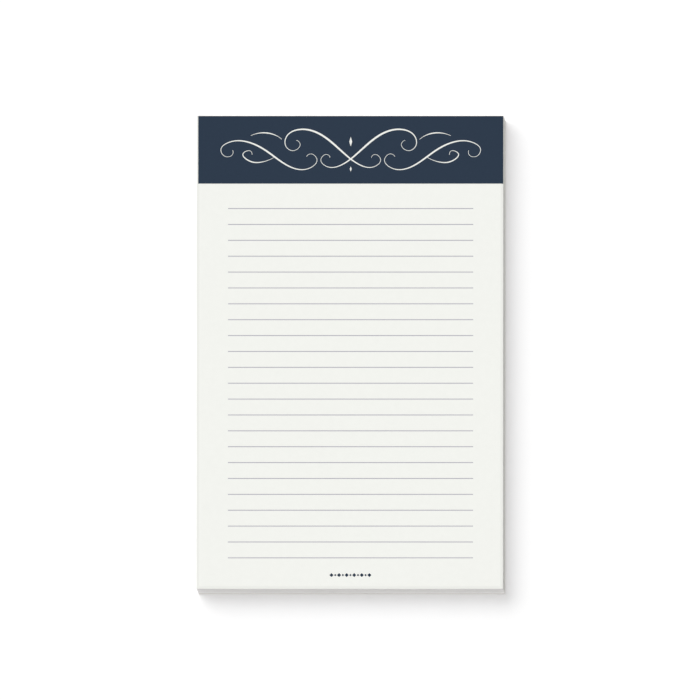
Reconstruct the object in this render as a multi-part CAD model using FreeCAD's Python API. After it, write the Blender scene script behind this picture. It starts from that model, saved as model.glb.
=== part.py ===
import FreeCAD, Part
import math
import os

# A ruled writing pad: loose sheets glued along the head edge to a stiff backing board.
# It lies face up on its board. +Z is up, +Y points to the head edge, and the origin is
# the middle of the underside. All sizes are millimetres.

# Sheets and backing board
page_width = 127.0
page_length = 203.2
sheet_thickness = 0.15
sheet_count = 50
board_thickness = 0.8
board_edge_round = 0.15

# Film of padding glue on the head edge, thickest at mid height
glue_thickness = 0.35
glue_rim_thickness = 0.12

# Printed header band, with a sliver of bare paper left of it
ink_thickness = 0.03
band_height = 29.05
bare_left_sliver = 0.6

# Writing lines
rule_width = 0.3
rule_pitch = 6.824
rule_end_margin = 12.4
band_to_first_rule = 10.72
last_rule_to_foot = 12.5

# Flourish left bare in the band
flourish_end_margin = 9.4
flourish_head_margin = 5.7
hairline = 0.2
main_swell = 0.8
swash_swell = 0.7
tendril_swell = 0.52
echo_swell = 0.52
upper_lozenge_width = 1.2
upper_lozenge_length = 4.2
lower_lozenge_width = 0.8
lower_lozenge_length = 2.3

# Row of lozenges printed at the foot, with a smaller one in each gap of the larger ones
foot_row_height = 5.9
foot_lozenge_size = 1.7
foot_lozenge_count = 6
foot_small_size = 1.0
foot_lozenge_gap = 0.22

# How close to a face an edge's middle lies to be on it
on_face_within = 0.001

# Places that follow from the sizes above
block_thickness = sheet_count * sheet_thickness
pad_thickness = board_thickness + block_thickness
left_edge_x = -page_width / 2
foot_edge_y = -(page_length + glue_thickness) / 2
head_edge_y = foot_edge_y + page_length
band_left_x = left_edge_x + bare_left_sliver
band_width = page_width - bare_left_sliver
band_foot_y = head_edge_y - band_height
band_middle_x = band_left_x + band_width / 2
band_middle_y = head_edge_y - band_height / 2

# Pen strokes of the right half of the flourish, each a smooth line through a few points.
# The points are hundredths of half the flourish's width and height, from its middle.
main_stroke = [(-16, -38), (-19, -22), (-23, -47), (-18, -82), (-8, -76), (3, -29), (14, 33),
               (26, 84), (38, 100), (49, 69), (50, 18), (44, -4), (39, 22), (42, 47)]
swash_stroke = [(34, -33), (30, -20), (26, -47), (31, -87), (42, -93), (55, -51), (68, 7),
                (82, 42), (94, 36), (100, 2), (97, -31), (92, -29), (91, -2)]
tendril_stroke = [(59, -36), (69, -60), (79, -51), (83, -20), (78, -4), (76, -24)]
echo_stroke = [(53, 51), (61, 78), (70, 82), (77, 69)]
upper_lozenge_y = 40
lower_lozenge_y = -93
stroke_stations = 48
swell_sharpness = 2.2


def backing_board():
    """The board, its three trimmed lower edges worn slightly round."""
    corner = FreeCAD.Vector(left_edge_x, foot_edge_y, 0)
    board = Part.makeBox(page_width, page_length, board_thickness, corner)
    worn_edges = []
    for edge in board.Edges:
        middle = edge.CenterOfMass
        on_underside = abs(middle.z) < on_face_within
        on_head = abs(middle.y - head_edge_y) < on_face_within
        if on_underside and not on_head:
            worn_edges.append(edge)
    return board.makeFillet(min(board_edge_round, board_thickness / 2), worn_edges)


def sheet_block():
    """All the sheets, jogged and trimmed together into one block."""
    corner = FreeCAD.Vector(left_edge_x, foot_edge_y, board_thickness)
    return Part.makeBox(page_width, page_length, block_thickness, corner)


def padding_glue():
    """The brushed film that holds sheets and board together at the head."""
    rim_y = head_edge_y + glue_rim_thickness
    crown_y = head_edge_y + glue_thickness
    inner_low = FreeCAD.Vector(left_edge_x, head_edge_y, 0)
    outer_low = FreeCAD.Vector(left_edge_x, rim_y, 0)
    crown = FreeCAD.Vector(left_edge_x, crown_y, pad_thickness / 2)
    outer_high = FreeCAD.Vector(left_edge_x, rim_y, pad_thickness)
    inner_high = FreeCAD.Vector(left_edge_x, head_edge_y, pad_thickness)
    section = Part.Wire([
        Part.makeLine(inner_low, outer_low),
        Part.Arc(outer_low, crown, outer_high).toShape(),
        Part.makeLine(outer_high, inner_high),
        Part.makeLine(inner_high, inner_low),
    ])
    return Part.Face(section).extrude(FreeCAD.Vector(page_width, 0, 0))


def printed(outline):
    """A layer of ink on the top sheet, from a flat outline."""
    return Part.Face(outline).extrude(FreeCAD.Vector(0, 0, ink_thickness))


def lozenge(middle_x, middle_y, width, length):
    """A lozenge of ink, with its width across the pad and its length along it."""
    corners = [
        FreeCAD.Vector(middle_x - width / 2, middle_y, pad_thickness),
        FreeCAD.Vector(middle_x, middle_y - length / 2, pad_thickness),
        FreeCAD.Vector(middle_x + width / 2, middle_y, pad_thickness),
        FreeCAD.Vector(middle_x, middle_y + length / 2, pad_thickness),
    ]
    return printed(Part.makePolygon(corners + corners[:1]))


def flourish_point(across, up):
    """A point of the flourish, from hundredths of half its width and height."""
    half_width = band_width / 2 - flourish_end_margin
    half_height = band_height / 2 - flourish_head_margin
    x = band_middle_x + across / 100 * half_width
    y = band_middle_y + up / 100 * half_height
    return FreeCAD.Vector(x, y, pad_thickness)


def pen_stroke(points, swell):
    """A stroke that starts and ends as a hairline and swells under the pen between."""
    line = Part.BSplineCurve()
    line.interpolate([flourish_point(across, up) for across, up in points])
    path = line.toShape()
    left_side = []
    right_side = []
    for station in range(stroke_stations + 1):
        share = station / stroke_stations
        place = path.getParameterByLength(share * path.Length)
        centre = path.valueAt(place)
        forward = path.tangentAt(place)
        sideways = FreeCAD.Vector(-forward.y, forward.x, 0)
        pressure = math.sin(math.pi * share) ** swell_sharpness
        half_line = (hairline + (swell - hairline) * pressure) / 2
        left_side.append(centre + sideways * half_line)
        right_side.append(centre - sideways * half_line)
    left_edge = Part.BSplineCurve()
    left_edge.interpolate(left_side)
    right_edge = Part.BSplineCurve()
    right_edge.interpolate(right_side)
    outline = Part.Wire([
        left_edge.toShape(),
        Part.makeLine(left_side[-1], right_side[-1]),
        right_edge.toShape(),
        Part.makeLine(right_side[0], left_side[0]),
    ])
    return printed(outline)


def flourish():
    """A penman's flourish, its left half the mirror image of its right half."""
    right_half = [
        pen_stroke(main_stroke, main_swell),
        pen_stroke(swash_stroke, swash_swell),
        pen_stroke(tendril_stroke, tendril_swell),
        pen_stroke(echo_stroke, echo_swell),
    ]
    middle = flourish_point(0, 0)
    left_half = [stroke.mirror(middle, FreeCAD.Vector(1, 0, 0)) for stroke in right_half]
    above = flourish_point(0, upper_lozenge_y)
    below = flourish_point(0, lower_lozenge_y)
    upper = lozenge(above.x, above.y, upper_lozenge_width, upper_lozenge_length)
    lower = lozenge(below.x, below.y, lower_lozenge_width, lower_lozenge_length)
    return right_half + left_half + [upper, lower]


def header_band():
    """The dark band across the head of the top sheet, with the flourish left bare."""
    corner = FreeCAD.Vector(band_left_x, band_foot_y, pad_thickness)
    band = Part.makeBox(band_width, band_height, ink_thickness, corner)
    return band.cut(flourish())


def ruled_lines():
    """The writing lines, evenly spaced from below the band down to the foot margin."""
    first_rule_y = band_foot_y - band_to_first_rule
    lowest_rule_y = foot_edge_y + last_rule_to_foot
    rule_count = int((first_rule_y - lowest_rule_y) / rule_pitch) + 1
    rule_length = band_width - 2 * rule_end_margin
    rules = []
    for number in range(rule_count):
        rule_y = first_rule_y - number * rule_pitch - rule_width / 2
        corner = FreeCAD.Vector(band_left_x + rule_end_margin, rule_y, pad_thickness)
        rules.append(Part.makeBox(rule_length, rule_width, ink_thickness, corner))
    return Part.makeCompound(rules)


def foot_ornament():
    """A row of large and small lozenges in turn, centred under the writing lines."""
    row_y = foot_edge_y + foot_row_height
    half_step = (foot_lozenge_size + foot_small_size) / 2 + foot_lozenge_gap
    first_x = band_middle_x - (foot_lozenge_count - 1) * half_step
    marks = []
    for number in range(foot_lozenge_count):
        large_x = first_x + number * 2 * half_step
        marks.append(lozenge(large_x, row_y, foot_lozenge_size, foot_lozenge_size))
    for number in range(foot_lozenge_count - 1):
        small_x = first_x + (number * 2 + 1) * half_step
        marks.append(lozenge(small_x, row_y, foot_small_size, foot_small_size))
    return Part.makeCompound(marks)


os.makedirs("parts", exist_ok=True)
backing_board().exportStep("parts/backing_board.step")
sheet_block().exportStep("parts/sheet_block.step")
padding_glue().exportStep("parts/padding_glue.step")
header_band().exportStep("parts/header_band.step")
ruled_lines().exportStep("parts/ruled_lines.step")
foot_ornament().exportStep("parts/foot_ornament.step")
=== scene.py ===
import math
import random

import bpy
from mathutils import Matrix, Vector


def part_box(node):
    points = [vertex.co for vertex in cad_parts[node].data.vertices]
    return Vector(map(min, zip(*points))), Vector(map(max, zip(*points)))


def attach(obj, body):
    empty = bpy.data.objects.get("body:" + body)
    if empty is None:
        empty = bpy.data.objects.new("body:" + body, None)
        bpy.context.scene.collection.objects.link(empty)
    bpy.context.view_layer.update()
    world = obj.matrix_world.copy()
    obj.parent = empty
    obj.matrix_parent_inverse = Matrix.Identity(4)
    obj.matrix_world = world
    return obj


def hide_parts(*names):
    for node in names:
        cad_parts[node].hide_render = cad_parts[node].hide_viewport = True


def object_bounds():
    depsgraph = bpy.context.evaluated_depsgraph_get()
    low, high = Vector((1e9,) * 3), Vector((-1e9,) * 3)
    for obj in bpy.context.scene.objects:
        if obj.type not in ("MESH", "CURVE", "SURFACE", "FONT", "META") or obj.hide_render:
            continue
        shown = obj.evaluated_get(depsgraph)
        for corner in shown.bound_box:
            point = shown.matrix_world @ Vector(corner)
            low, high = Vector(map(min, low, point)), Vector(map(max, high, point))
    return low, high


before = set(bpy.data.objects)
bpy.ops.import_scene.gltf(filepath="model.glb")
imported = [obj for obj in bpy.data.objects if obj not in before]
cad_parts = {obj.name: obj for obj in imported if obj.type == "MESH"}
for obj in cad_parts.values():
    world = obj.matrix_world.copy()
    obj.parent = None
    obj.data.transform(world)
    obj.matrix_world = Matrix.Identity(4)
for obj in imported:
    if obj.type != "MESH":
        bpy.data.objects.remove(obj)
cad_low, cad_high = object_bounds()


# Backing board: a stiff sheet of raw chipboard, pressed from recycled pulp. The pages lie on
# it, the glue at the head holds them to it, and all are guillotined together. Its lower edges
# are a little crushed from lying on desks.

mm = 0.001
board_low, board_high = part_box("backing_board")
board_size = board_high - board_low
board_middle = (board_low + board_high) / 2
board_cut_spacing = 4 * mm
crushed_edge = 0.18 * mm
crushed_facets = 3
edge_fuzz = 0.05 * mm
fuzz_spacing = 3 * mm
# An edge that turns by more than this stays sharp when the faces are shaded smooth
sharp_from = math.radians(30)
# The whole pad leans to the right from its top leaf down, as a glued stack slips in use
stack_lean = 0.95 * mm
top_leaf_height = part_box("sheet_block")[1].z


def leaned(height):
    """How far the pad has slipped to the right at a height above the desk."""
    return stack_lean * (1 - height / top_leaf_height)


def deselect_all():
    """Leaves nothing selected, as each new piece is started by itself."""
    bpy.ops.object.select_all(action="DESELECT")


def select_only(piece):
    """Makes this piece the one that the next operators act on."""
    deselect_all()
    piece.select_set(True)
    bpy.context.view_layer.objects.active = piece


def settle(piece):
    """Puts the piece's place and size into its mesh, with its object at the origin."""
    select_only(piece)
    bpy.ops.object.transform_apply(location=True, rotation=True, scale=True)


def select_where(piece, kind, is_wanted):
    """In edit mode, selects the vertices or edges that pass a test and no others."""
    bpy.ops.object.mode_set(mode="EDIT")
    bpy.ops.mesh.select_mode(type=kind)
    bpy.ops.mesh.select_all(action="DESELECT")
    bpy.ops.object.mode_set(mode="OBJECT")
    for part in {"VERT": piece.data.vertices, "EDGE": piece.data.edges}[kind]:
        part.select = is_wanted(part)
    bpy.ops.object.mode_set(mode="EDIT")


def cut_at(piece, place, normal):
    """Cuts the whole mesh by a plane, given by a point on it and its normal."""
    select_only(piece)
    bpy.ops.object.mode_set(mode="EDIT")
    bpy.ops.mesh.select_all(action="SELECT")
    bpy.ops.mesh.bisect(plane_co=place, plane_no=normal)
    bpy.ops.object.mode_set(mode="OBJECT")


def cut_across(piece, direction, low, high):
    """Cuts the mesh at even steps along one direction, between two ends."""
    steps = round((high - low) / board_cut_spacing)
    for number in range(1, steps):
        cut_at(piece, direction * (low + (high - low) * number / steps), direction)


def apply_modifier(piece, kind, **settings):
    """Adds a modifier with its settings and applies it to the mesh."""
    select_only(piece)
    modifier = piece.modifiers.new(kind.lower(), kind)
    for name, value in settings.items():
        setattr(modifier, name, value)
    bpy.ops.object.modifier_apply(modifier=modifier.name)


def cloud_field(name, feature_size):
    """A smooth random field with bumps of about one size."""
    field = bpy.data.textures.new(name, "CLOUDS")
    field.noise_scale = feature_size
    field.noise_depth = 1
    return field


def roughen(piece, field, direction, depth):
    """Moves the mesh to and fro along one axis by a random field, by this depth in all."""
    apply_modifier(piece, "DISPLACE", texture=field, texture_coords="GLOBAL",
                   direction=direction, strength=depth, mid_level=0.5)


deselect_all()
bpy.ops.mesh.primitive_cube_add(
    size=1, location=board_middle + Vector((leaned(board_middle.z), 0, 0)), scale=board_size)
board = bpy.context.active_object
board.name = "chipboard_back"
settle(board)
select_where(board, "EDGE", lambda edge: all(
    board.data.vertices[end].co.z < board_middle.z for end in edge.vertices))
bpy.ops.mesh.bevel(offset=crushed_edge, segments=crushed_facets, affect="EDGES")
bpy.ops.object.mode_set(mode="OBJECT")
cut_across(board, Vector((1, 0, 0)), board_low.x + stack_lean, board_high.x)
cut_across(board, Vector((0, 1, 0)), board_low.y, board_high.y)
pulp = cloud_field("pulp", fuzz_spacing)
for direction in ("X", "Y"):
    roughen(board, pulp, direction, edge_fuzz)


def linear(hex_colour):
    """An sRGB colour such as F3F4EF as the linear colour that a shader takes."""
    channels = []
    for start in (0, 2, 4):
        share = int(hex_colour[start:start + 2], 16) / 255
        channels.append(share / 12.92 if share <= 0.04045 else ((share + 0.055) / 1.055) ** 2.4)
    return (*channels, 1.0)


def add_node(tree, kind, settings=None, links=None):
    """Adds a node, sets its properties, ramp stops and unlinked inputs, and links the others.

    An input goes by its name, or by its number where several share a name.
    """
    node = tree.nodes.new(kind)
    for name, value in (settings or {}).items():
        if name == "stops":
            for stop, (position, colour) in zip(node.color_ramp.elements, value):
                stop.position = position
                stop.color = colour
        elif isinstance(name, int) or name in node.inputs:
            node.inputs[name].default_value = value
        else:
            setattr(node, name, value)
    for name, source in (links or {}).items():
        tree.links.new(source, node.inputs[name])
    return node


def new_material(name):
    """A material with only its output and a Principled shader, ready for more nodes."""
    material = bpy.data.materials.new(name)
    material.use_nodes = True
    tree = material.node_tree
    tree.nodes.clear()
    shader = add_node(tree, "ShaderNodeBsdfPrincipled")
    add_node(tree, "ShaderNodeOutputMaterial", links={"Surface": shader.outputs["BSDF"]})
    return material, tree, shader


def pattern(tree, kind, feature_size, stretch=(1, 1, 1), **settings):
    """A texture on object coordinates, its features drawn out along the axes by stretch."""
    place = add_node(tree, "ShaderNodeTexCoord")
    stretched = add_node(tree, "ShaderNodeMapping", {"Scale": [1 / share for share in stretch]},
                         {"Vector": place.outputs["Object"]})
    settings["Scale"] = 1 / feature_size
    return add_node(tree, kind, settings, {"Vector": stretched.outputs["Vector"]})


# Raw chipboard, felted from bleached waste paper: a flat pale grey with darker specks and
# a soft fibrous tooth, quite without gloss. Its plies show as level lines along its edges.
clump_size = 1.6 * mm
speck_spacing = 1.1 * mm
ply_thickness = 0.16 * mm
chipboard_tooth = 0.05 * mm
chipboard, tree, shader = new_material("raw pale grey chipboard")
clumps = pattern(
    tree, "ShaderNodeTexNoise", clump_size, stretch=(1, 1, 0.2), Detail=6, Roughness=0.65)
tone = add_node(tree, "ShaderNodeValToRGB", {
    "stops": ((0.3, linear("CFCBC5")), (0.7, linear("DFDCD7")))}, {"Fac": clumps.outputs["Fac"]})
specks = pattern(tree, "ShaderNodeTexVoronoi", speck_spacing, stretch=(1, 1, 0.3))
speck_mask = add_node(tree, "ShaderNodeValToRGB", {
    "stops": ((0.05, linear("FFFFFF")), (0.16, linear("000000")))},
    {"Fac": specks.outputs["Distance"]})
speckled = add_node(tree, "ShaderNodeMix", {"data_type": "RGBA", 7: linear("A8A297")}, {
    0: speck_mask.outputs["Color"], 6: tone.outputs["Color"]})
plies = pattern(tree, "ShaderNodeTexNoise", ply_thickness, stretch=(60, 60, 1), Detail=2)
tooth = add_node(tree, "ShaderNodeMath", {"operation": "ADD"}, {
    0: clumps.outputs["Fac"], 1: plies.outputs["Fac"]})
relief = add_node(tree, "ShaderNodeBump", {"Strength": 0.5, "Distance": chipboard_tooth},
                  {"Height": tooth.outputs["Value"]})
tree.links.new(speckled.outputs[2], shader.inputs["Base Color"])
tree.links.new(relief.outputs["Normal"], shader.inputs["Normal"])
shader.inputs["Roughness"].default_value = 0.95
shader.inputs["Specular IOR Level"].default_value = 0.3

board.data.materials.append(chipboard)
select_only(board)
bpy.ops.object.shade_smooth_by_angle(angle=sharp_from)
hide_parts("backing_board")
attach(board, "root")


# Pages: fifty leaves of uncoated white text paper, jogged square, glued at the head and
# trimmed together on the other three sides. Each leaf is a slab of its own, and small slips
# between them leave the fine uneven lines that show along the trimmed edges.

block_low, block_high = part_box("sheet_block")
block_size = block_high - block_low
block_middle = (block_low + block_high) / 2
band_foot_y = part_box("header_band")[0].y
leaf_count = 50
leaf_pitch = block_size.z / leaf_count
leaf_cells = (12, 20)
tight_gap = 0.018 * mm
loose_gap = 0.06 * mm
loose_share = 0.16
leaf_slip = 0.03 * mm
batch_slip = 0.1 * mm
batch_sizes = (3, 8)
edge_waver = 0.05 * mm
waver_spacing = 0.4 * mm
# How far in from a trimmed edge the top leaf bends down a little more, and by how much. The
# leaves under it bend with it, each less than the one above.
pressed_steps = ((1.6 * mm, 0.008 * mm), (1.0 * mm, 0.022 * mm), (0.5 * mm, 0.03 * mm))
pressed_leaves = 4
# Points this near to a cut or a row lie on it
on_line_within = 0.01 * mm
# A face whose normal rises by less than this was cut by the guillotine, and the rest are flat
upright_below = 0.5

random.seed(12)


def batch_offsets():
    """A slip for each leaf: leaves slip in small batches, and a little by themselves."""
    offsets = []
    while len(offsets) < leaf_count:
        batch = Vector((random.uniform(-1, 1), random.uniform(-1, 1))) * batch_slip
        for _ in range(random.randint(*batch_sizes)):
            own = Vector((random.uniform(-1, 1), random.uniform(-1, 1))) * leaf_slip
            offsets.append(batch + own)
    return offsets[:leaf_count]


def lay_leaf(number, slip, gap):
    """A copy of the cut leaf at its height in the pad, smaller by its slip and by a gap."""
    select_only(cut_leaf)
    bpy.ops.object.duplicate()
    leaf = bpy.context.active_object
    height = block_low.z + (number + 1) * leaf_pitch
    leaf.location = (
        block_middle.x + slip.x + leaned(height), block_middle.y + abs(slip.y), height)
    leaf.scale = (
        1 - 2 * abs(slip.x) / block_size.x, 1 - 2 * abs(slip.y) / block_size.y,
        1 - gap / leaf_pitch)
    settle(leaf)
    return leaf


def is_near_trim(point, depth):
    """Whether a leaf's point lies within a depth of its foot, or of a side below the band."""
    near_foot = point.y < block_low.y + depth
    near_side = not block_low.x + depth < point.x < block_high.x - depth
    return near_foot or (near_side and point.y < band_foot_y)


def press_edges(leaf, share):
    """Bends the leaf's trimmed edges down by a share of the full fall, but not at the band."""
    for depth, _ in pressed_steps:
        cut_at(leaf, (block_low.x + depth, 0, 0), (1, 0, 0))
        cut_at(leaf, (block_high.x - depth, 0, 0), (1, 0, 0))
        cut_at(leaf, (0, block_low.y + depth, 0), (0, 1, 0))
    for depth, fall in pressed_steps:
        reach = depth - on_line_within
        select_where(leaf, "VERT", lambda corner: is_near_trim(corner.co, reach))
        bpy.ops.transform.translate(value=(0, 0, -fall * share))
        bpy.ops.object.mode_set(mode="OBJECT")


deselect_all()
bpy.ops.mesh.primitive_grid_add(
    x_subdivisions=leaf_cells[0], y_subdivisions=leaf_cells[1], size=1)
cut_leaf = bpy.context.active_object
cut_leaf.scale = (block_size.x, block_size.y, 1)
settle(cut_leaf)
apply_modifier(cut_leaf, "SOLIDIFY", thickness=leaf_pitch, offset=-1)

leaves = []
for number, slip in enumerate(batch_offsets()):
    gap = loose_gap if random.random() < loose_share else tight_gap
    under_top = leaf_count - 1 - number
    # The top leaf has no slip, because the print lies on it
    leaf = lay_leaf(number, slip if under_top else Vector((0, 0)), gap)
    if under_top < pressed_leaves:
        press_edges(leaf, 1 - under_top / pressed_leaves)
    leaves.append(leaf)
bpy.data.objects.remove(cut_leaf)

deselect_all()
for leaf in leaves:
    leaf.select_set(True)
bpy.context.view_layer.objects.active = leaves[0]
bpy.ops.object.join()
pages = bpy.context.active_object
pages.name = "pages"
waver = cloud_field("leaf waver", waver_spacing)
for direction in ("X", "Y"):
    roughen(pages, waver, direction, edge_waver)

# Uncoated text paper, felted and lightly pressed: an even, faintly warm white without gloss.
# Its cloudy look-through and its tooth are drawn coarser than the real 0.1 mm fibres. The
# last millimetre before each trimmed edge is painted a touch greyer: a painted shade.
cloud_size = 2.5 * mm
fibre_width = 0.35 * mm
fibre_stretch = (1, 2.5, 1)
paper_tooth = 0.02 * mm
shaded_rim_starts = 1.3 * mm
shaded_rim_full = 0.9 * mm
paper, tree, shader = new_material("uncoated white text paper")
cloudy = pattern(tree, "ShaderNodeTexNoise", cloud_size, Detail=4, Roughness=0.6)
tone = add_node(tree, "ShaderNodeValToRGB", {
    "stops": ((0.0, linear("F1F2ED")), (1.0, linear("F5F6F1")))}, {"Fac": cloudy.outputs["Fac"]})
place = add_node(tree, "ShaderNodeTexCoord")
axes = add_node(tree, "ShaderNodeSeparateXYZ", links={"Vector": place.outputs["Object"]})
off_middle = add_node(tree, "ShaderNodeMath", {"operation": "ABSOLUTE"}, {0: axes.outputs["X"]})
near_side = add_node(tree, "ShaderNodeMapRange", {
    "From Min": block_high.x - shaded_rim_starts, "From Max": block_high.x - shaded_rim_full},
    {"Value": off_middle.outputs["Value"]})
near_foot = add_node(tree, "ShaderNodeMapRange", {
    "From Min": block_low.y + shaded_rim_starts, "From Max": block_low.y + shaded_rim_full},
    {"Value": axes.outputs["Y"]})
painted_shade_rim = add_node(tree, "ShaderNodeMath", {"operation": "MAXIMUM"}, {
    0: near_side.outputs["Result"], 1: near_foot.outputs["Result"]})
# Painted shade: the tone is mixed towards a grey within about a millimetre of the sides and the
# foot
painted_shade = add_node(tree, "ShaderNodeMix", {"data_type": "RGBA", 7: linear("EDEEE9")}, {
    0: painted_shade_rim.outputs["Value"], 6: tone.outputs["Color"]})
fibres = pattern(
    tree, "ShaderNodeTexNoise", fibre_width, fibre_stretch, Detail=5, Roughness=0.7)
relief = add_node(tree, "ShaderNodeBump", {"Strength": 0.25, "Distance": paper_tooth},
                  {"Height": fibres.outputs["Fac"]})
tree.links.new(painted_shade.outputs[2], shader.inputs["Base Color"])
tree.links.new(relief.outputs["Normal"], shader.inputs["Normal"])
shader.inputs["Roughness"].default_value = 0.92
shader.inputs["Specular IOR Level"].default_value = 0.25

# The same paper where the guillotine cut it: level streaks where leaves lie closer or
# looser, faint upright marks from nicks in the blade, and a painted shade that greys it towards
# the top leaf.
# A streak is drawn two or three leaves high, because one leaf is too fine to show.
streak_height = 0.4 * mm
nick_spacing = 0.5 * mm
nick_depth = 0.03 * mm
cut_paper, tree, shader = new_material("guillotined paper edge")
streaks = pattern(
    tree, "ShaderNodeTexNoise", streak_height, stretch=(300, 300, 1), Detail=3, Roughness=0.7)
tone = add_node(tree, "ShaderNodeValToRGB", {
    "stops": ((0.3, linear("E4E2E2")), (0.56, linear("FFFCFD")))}, {"Fac": streaks.outputs["Fac"]})
place = add_node(tree, "ShaderNodeTexCoord")
axes = add_node(tree, "ShaderNodeSeparateXYZ", links={"Vector": place.outputs["Object"]})
height_share = add_node(tree, "ShaderNodeMapRange", {
    "From Min": block_low.z, "From Max": block_high.z}, {"Value": axes.outputs["Z"]})
# Painted shade: the edge is mixed towards a grey the higher it stands in the pad
painted_shade = add_node(tree, "ShaderNodeMix", {"data_type": "RGBA", 7: linear("D2CED0")}, {
    0: height_share.outputs["Result"], 6: tone.outputs["Color"]})
nicks = pattern(tree, "ShaderNodeTexNoise", nick_spacing, stretch=(1, 1, 60), Detail=2)
relief = add_node(tree, "ShaderNodeBump", {"Strength": 0.35, "Distance": nick_depth},
                  {"Height": nicks.outputs["Fac"]})
tree.links.new(painted_shade.outputs[2], shader.inputs["Base Color"])
tree.links.new(relief.outputs["Normal"], shader.inputs["Normal"])
shader.inputs["Roughness"].default_value = 0.9
shader.inputs["Specular IOR Level"].default_value = 0.25

pages.data.materials.append(paper)
pages.data.materials.append(cut_paper)
for face in pages.data.polygons:
    is_cut = abs(face.normal.z) < upright_below
    face.material_index = int(is_cut)
select_only(pages)
bpy.ops.object.shade_smooth_by_angle(angle=sharp_from)
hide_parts("sheet_block")
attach(pages, "root")


# Padding glue: white padding compound, brushed in two coats over the head edges of pages and
# board while they stand clamped, and dried to a thin rubbery skin. The brush went along the
# edge and left level ridges, and the skin thins towards its two rims.

glue_low, glue_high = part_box("padding_glue")
glue_size = glue_high - glue_low
glue_mid_height = (glue_low.z + glue_high.z) / 2
# The skin's thickness at its two rims, as a share of that halfway up
rim_share = 0.35
glue_cells = (120, 28)
brush_ridge = 0.05 * mm
brush_swell = 0.08 * mm
swell_spacing = 5 * mm
glue_sharp_from = math.radians(40)
# Points whose heights in metres agree to this many digits are one row across the skin
row_digits = 7

deselect_all()
bpy.ops.mesh.primitive_grid_add(
    x_subdivisions=glue_cells[0], y_subdivisions=glue_cells[1], size=1,
    location=(0, glue_low.y, glue_mid_height), rotation=(math.radians(-90), 0, 0))
glue = bpy.context.active_object
glue.name = "glue_skin"
glue.scale = (glue_size.x, glue_size.z, 1)
settle(glue)
rows = sorted({round(corner.co.z, row_digits) for corner in glue.data.vertices})
# The skin is first a slab, whose back lies far enough in to be told from its front
apply_modifier(glue, "SOLIDIFY", thickness=2 * glue_size.y, offset=-1)
for row in rows:
    off_middle = (row - glue_mid_height) / (glue_size.z / 2)
    bulge = glue_size.y * (rim_share + (1 - rim_share) * (1 - off_middle ** 2))
    bulge -= brush_swell / 2 + random.random() * brush_ridge
    select_where(glue, "VERT", lambda corner: abs(corner.co.z - row) < on_line_within)
    bpy.ops.transform.translate(value=(leaned(row), bulge, 0))
    bpy.ops.object.mode_set(mode="OBJECT")
roughen(glue, cloud_field("brush swell", swell_spacing), "Y", brush_swell)
# Its back is then flattened on the head edge
select_where(glue, "VERT", lambda corner: corner.co.y < glue_low.y - glue_size.y / 2)
bpy.ops.transform.resize(value=(1, 0, 1), center_override=(0, glue_low.y, 0))
bpy.ops.object.mode_set(mode="OBJECT")

# Dried padding compound, a vinyl glue brushed on by hand: milky white with a satin gloss that
# catches along the brush ridges, and thin enough for the leaves to show through as level lines.
thin_spot_height = 2 * mm
show_through_share = 0.6
bristle_mark_height = 0.5 * mm
bristle_mark_depth = 0.08 * mm
glue_skin, tree, shader = new_material("brushed white padding glue")
thin_spots = pattern(tree, "ShaderNodeTexNoise", thin_spot_height, stretch=(8, 1, 1), Detail=3)
tone = add_node(tree, "ShaderNodeValToRGB", {
    "stops": ((0.3, linear("E3E1DA")), (0.7, linear("F4F3EE")))},
    {"Fac": thin_spots.outputs["Fac"]})
leaf_lines = pattern(
    tree, "ShaderNodeTexNoise", streak_height, stretch=(300, 1, 1), Detail=3, Roughness=0.7)
show_through = add_node(tree, "ShaderNodeValToRGB", {
    "stops": ((0.34, linear("DAD8D3")), (0.56, linear("FFFFFF")))},
    {"Fac": leaf_lines.outputs["Fac"]})
lined = add_node(tree, "ShaderNodeMix", {
    "data_type": "RGBA", "blend_type": "MULTIPLY", 0: show_through_share}, {
    6: tone.outputs["Color"], 7: show_through.outputs["Color"]})
bristle_marks = pattern(
    tree, "ShaderNodeTexNoise", bristle_mark_height, stretch=(25, 1, 1), Detail=4)
relief = add_node(tree, "ShaderNodeBump", {"Strength": 0.6, "Distance": bristle_mark_depth},
                  {"Height": bristle_marks.outputs["Fac"]})
tree.links.new(lined.outputs[2], shader.inputs["Base Color"])
tree.links.new(relief.outputs["Normal"], shader.inputs["Normal"])
shader.inputs["Roughness"].default_value = 0.42
shader.inputs["IOR"].default_value = 1.47

glue.data.materials.append(glue_skin)
select_only(glue)
bpy.ops.object.shade_smooth_by_angle(angle=glue_sharp_from)
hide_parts("padding_glue")
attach(glue, "root")


# Printed band, writing lines and foot ornament: offset ink on the top leaf, navy in the band
# and the foot ornament, and a pale blue-grey in the lines. The layers keep their built shape,
# and the flourish in the band is bare paper.

ink_cloud_size = 0.8 * mm


def printed_ink(name, thin, full):
    """Offset ink soaked into paper: matte, and hardly lighter where the fibres stand up."""
    ink, tree, shader = new_material(name)
    lay = pattern(tree, "ShaderNodeTexNoise", ink_cloud_size, Detail=5, Roughness=0.7)
    tone = add_node(tree, "ShaderNodeValToRGB", {
        "stops": ((0.0, thin), (1.0, full))}, {"Fac": lay.outputs["Fac"]})
    fibres = pattern(
        tree, "ShaderNodeTexNoise", fibre_width, fibre_stretch, Detail=5, Roughness=0.7)
    relief = add_node(tree, "ShaderNodeBump", {"Strength": 0.2, "Distance": paper_tooth},
                      {"Height": fibres.outputs["Fac"]})
    tree.links.new(tone.outputs["Color"], shader.inputs["Base Color"])
    tree.links.new(relief.outputs["Normal"], shader.inputs["Normal"])
    shader.inputs["Roughness"].default_value = 0.8
    shader.inputs["Specular IOR Level"].default_value = 0.2
    return ink


navy_ink = printed_ink("navy offset ink", linear("263547"), linear("223041"))
grey_ink = printed_ink("blue-grey offset ink", linear("ABA8B5"), linear("A6A3B0"))

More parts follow.
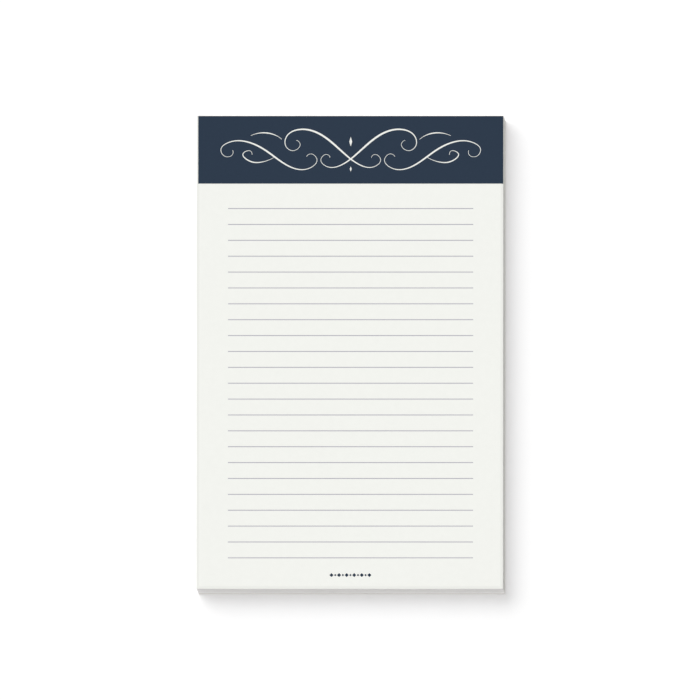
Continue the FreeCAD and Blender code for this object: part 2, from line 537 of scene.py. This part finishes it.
printed_with = {"header_band": navy_ink, "foot_ornament": navy_ink, "ruled_lines": grey_ink}
for node, ink in printed_with.items():
    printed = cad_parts[node]
    printed.data.materials.clear()
    printed.data.materials.append(ink)


# Floor, light and camera: the pad lies on a plain white sweep under a wide soft sky. A large
# soft lamp over the upper left lays its shadow to the right and towards the viewer, and a low
# white card in front, a little to the right, lifts the foot edge.

floor_size = 4.0
floor_glow = 0.055
# The sky's share of the light on the pad's face
sky_level = 0.555
# Each lamp's name, its share of that light, and its elevation, azimuth and spread in degrees
lamps = (("soft_lamp", 0.385, 42, 134, 56), ("front_card", 0.06, 15, -82, 30))


def seen_directly(tree):
    """1 for a ray that comes from the camera or by way of gloss or clear matter, else 0."""
    path = add_node(tree, "ShaderNodeLightPath")
    either = add_node(tree, "ShaderNodeMath", {"operation": "MAXIMUM"}, {
        0: path.outputs["Is Camera Ray"], 1: path.outputs["Is Glossy Ray"]})
    seen = add_node(tree, "ShaderNodeMath", {"operation": "MAXIMUM"}, {
        0: either.outputs["Value"], 1: path.outputs["Is Transmission Ray"]})
    return seen.outputs["Value"]


deselect_all()
bpy.ops.mesh.primitive_plane_add(size=floor_size, location=(0, 0, 0))
floor = bpy.context.active_object
floor.name = "floor"
# Matte white paint. In view it has a faint glow, so that it comes out plain white, and in the
# light that it throws back on the pad it is a hair greyer.
floor_paint, tree, shader = new_material("white sweep")
floor_tone = add_node(tree, "ShaderNodeMix", {
    "data_type": "RGBA", 6: linear("F6F6F6"), 7: linear("FFFFFF")}, {0: seen_directly(tree)})
glow = add_node(tree, "ShaderNodeMath", {"operation": "MULTIPLY", 1: floor_glow},
                {0: seen_directly(tree)})
tree.links.new(floor_tone.outputs[2], shader.inputs["Base Color"])
tree.links.new(glow.outputs["Value"], shader.inputs["Emission Strength"])
shader.inputs["Emission Color"].default_value = linear("FFFFFF")
shader.inputs["Roughness"].default_value = 1.0
shader.inputs["Specular IOR Level"].default_value = 0.0
floor.data.materials.append(floor_paint)

# The sky is plain white in view, and lights the pad at its own level
world = bpy.data.worlds.new("studio sky")
bpy.context.scene.world = world
world.use_nodes = True
tree = world.node_tree
tree.nodes.clear()
sky_strength = add_node(tree, "ShaderNodeMapRange", {"To Min": sky_level, "To Max": 1.0},
                        {"Value": seen_directly(tree)})
sky = add_node(tree, "ShaderNodeBackground", {"Color": linear("FFFFFF")},
               {"Strength": sky_strength.outputs["Result"]})
add_node(tree, "ShaderNodeOutputWorld", links={"Surface": sky.outputs["Background"]})

for name, level, elevation, azimuth, spread in lamps:
    deselect_all()
    bpy.ops.object.light_add(type="SUN", location=(0, 0, 1))
    lamp = bpy.context.active_object
    lamp.name = name
    lamp.data.angle = math.radians(spread)
    lamp.data.energy = level * math.pi / math.sin(math.radians(elevation))
    lamp.rotation_euler = (0, math.radians(90 - elevation), math.radians(azimuth))

# The photograph is taken from far away, almost straight down: the view leans towards the
# foot until the face looks as long as it does there, and a hair to the right.
lean_to_foot = math.radians(15.38)
lean_to_right = math.radians(0.15)
frame_width = 290.1 * mm
camera_distance = 2.0
# The photograph's width, and how far right of and above its middle the pad's middle lies
photo_pixels = 700
pad_shift_pixels = Vector((-0.14, -2.0))

to_camera = Vector((math.sin(lean_to_right), -math.sin(lean_to_foot), 0))
to_camera.z = math.sqrt(1 - to_camera.length_squared)
right = Vector((1, 0, 0)) - to_camera * to_camera.x
right.normalize()
up = to_camera.cross(right)
pad_shift = pad_shift_pixels / photo_pixels * frame_width
pad_middle = Vector((0, 0, cad_high.z))
place = pad_middle - right * pad_shift.x - up * pad_shift.y + to_camera * camera_distance
deselect_all()
bpy.ops.object.camera_add()
camera = bpy.context.active_object
camera.name = "camera"
camera.data.type = "ORTHO"
camera.data.ortho_scale = frame_width
camera.matrix_world = Matrix((
    (right.x, up.x, to_camera.x, place.x), (right.y, up.y, to_camera.y, place.y),
    (right.z, up.z, to_camera.z, place.z), (0, 0, 0, 1)))
bpy.context.scene.camera = camera
bpy.context.scene.view_settings.view_transform = "Standard"
